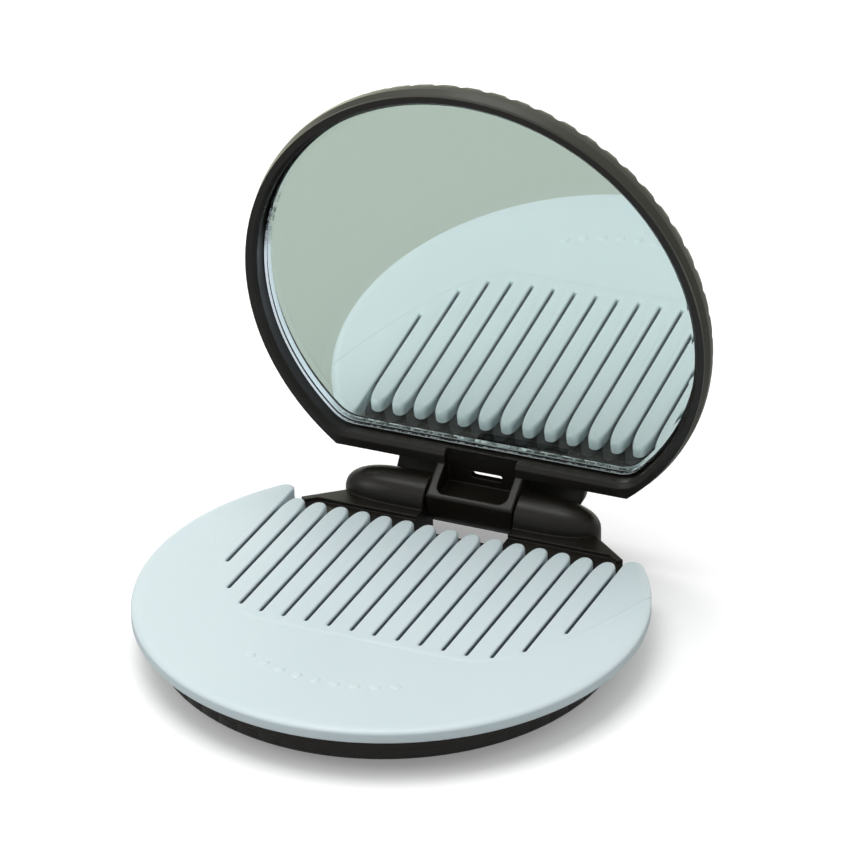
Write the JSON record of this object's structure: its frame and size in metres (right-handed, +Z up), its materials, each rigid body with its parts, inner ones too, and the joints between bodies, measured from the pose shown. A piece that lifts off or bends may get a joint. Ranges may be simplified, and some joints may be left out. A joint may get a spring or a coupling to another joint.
{
  "type": "pocket mirror with comb",
  "caption": "Round folding pocket mirror, standing open, with a loose round comb lying on its base. The lid swings on a rear hinge and the comb lifts out.",
  "frame": {"origin": "on the rest plane, at the middle of the round base's flat underside", "axes": "+Z up from the rest plane, +Y back towards the hinge, +X to the right of a user who looks into the mirror"},
  "size_m": [0.0697, 0.0705, 0.0707],
  "materials": {
    "frame_plastic": "glossy near-black brown, lightly scuffed",
    "base_shell": "glossy dark brown",
    "lid_shell": "satin olive brown",
    "pin_steel": "plain drawn steel",
    "glass": "clear, with cut edges",
    "silvering": "reflecting coat",
    "tape": "white foam tape",
    "comb_plastic": "satin bluish white"
  },
  "bodies": {
    "base": {"base_frame": "frame_plastic", "base_cover": "base_shell", "hinge_pin": "pin_steel"},
    "lid": {"lid_frame": "frame_plastic", "lid_cover": "lid_shell", "mirror_glass": "glass", "mirror_silvering": "silvering", "mirror_tape": "tape"},
    "comb": {"comb": "comb_plastic"}
  },
  "joints": [
    {"name": "lid_hinge", "type": "hinge", "parent": "base", "child": "lid", "pos_m": [0, 0.0307, 0.006], "axis": [-1, 0, 0], "range_deg": [-84, 26]},
    {"name": "comb_lift", "type": "slide", "parent": "base", "child": "comb", "axis": [0, 0, 1], "range_m": [0, 0.03]}
  ]
}
